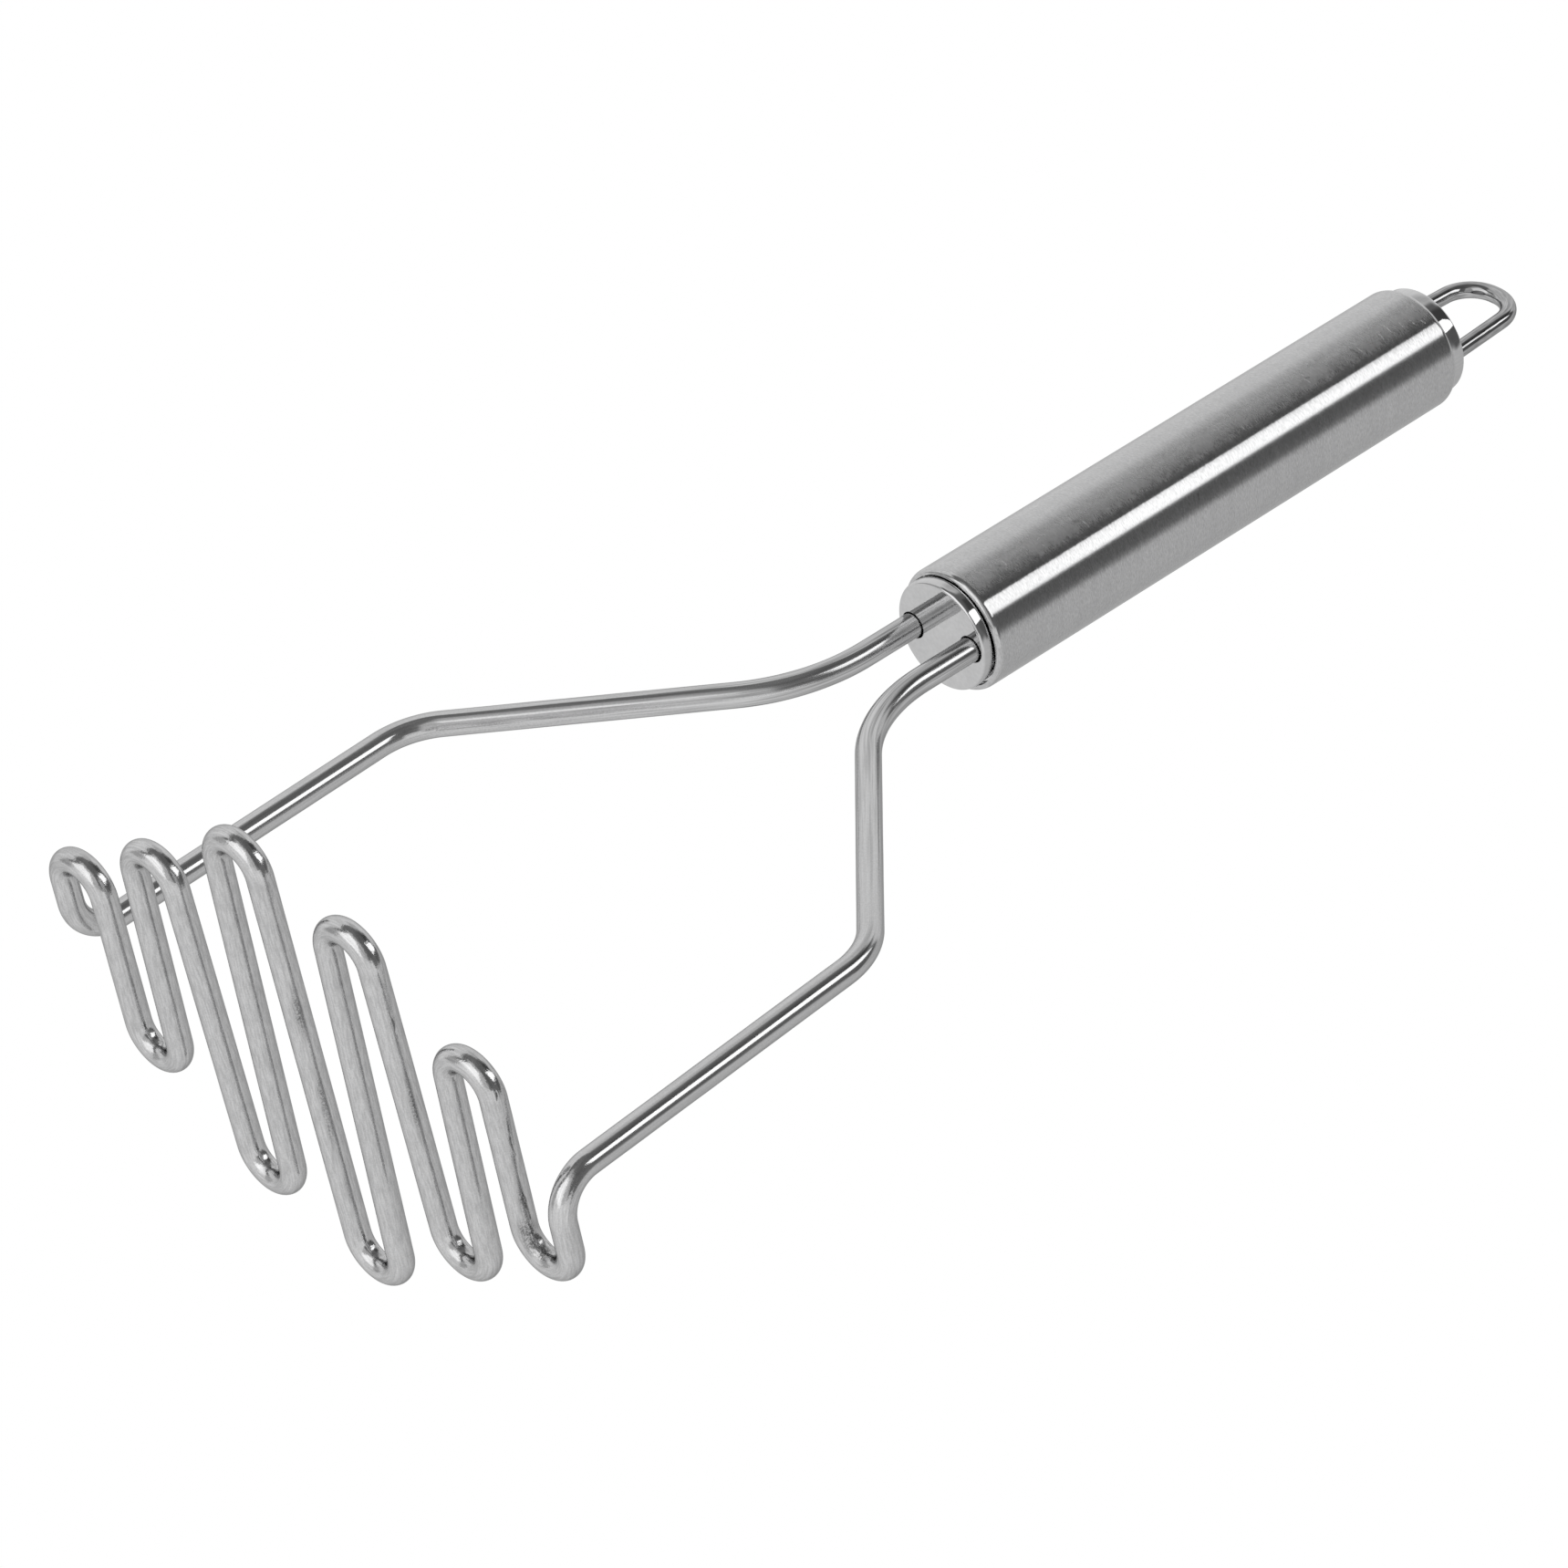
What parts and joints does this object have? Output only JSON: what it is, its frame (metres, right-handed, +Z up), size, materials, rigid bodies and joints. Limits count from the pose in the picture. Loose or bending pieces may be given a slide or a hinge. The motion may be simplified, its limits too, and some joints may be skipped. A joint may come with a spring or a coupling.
{
  "type": "potato masher",
  "caption": "Potato masher with a flat wave-bent wire head, flared wire arms, a brushed steel tube handle with polished end caps, and a wire hanging loop.",
  "frame": {"origin": "centre of the overall box at its lowest face: the surface that the mashing head stands on, under the middle of the head", "axes": "+Z up along the tool from the head to the hanging loop, +X across the head along the plane of the two arms, +Y along the head's short side; the handle leans 3.2 degrees from +Z towards +Y"},
  "size_m": [0.134, 0.094, 0.3173],
  "materials": {
    "drawn_wire": "drawn and polished stainless steel, satin on the head",
    "brushed_tube": "brushed round the tube",
    "polished_cap": "mirror polished",
    "polished_wire": "polished",
    "weld_metal": "as welded"
  },
  "bodies": {
    "root": {"masher_wire": "drawn_wire", "front_cap": "polished_cap", "handle_tube": "brushed_tube", "rear_cap": "polished_cap", "hanging_loop": "polished_wire", "tang_welds": "weld_metal", "loop_welds": "weld_metal"}
  },
  "joints": []
}
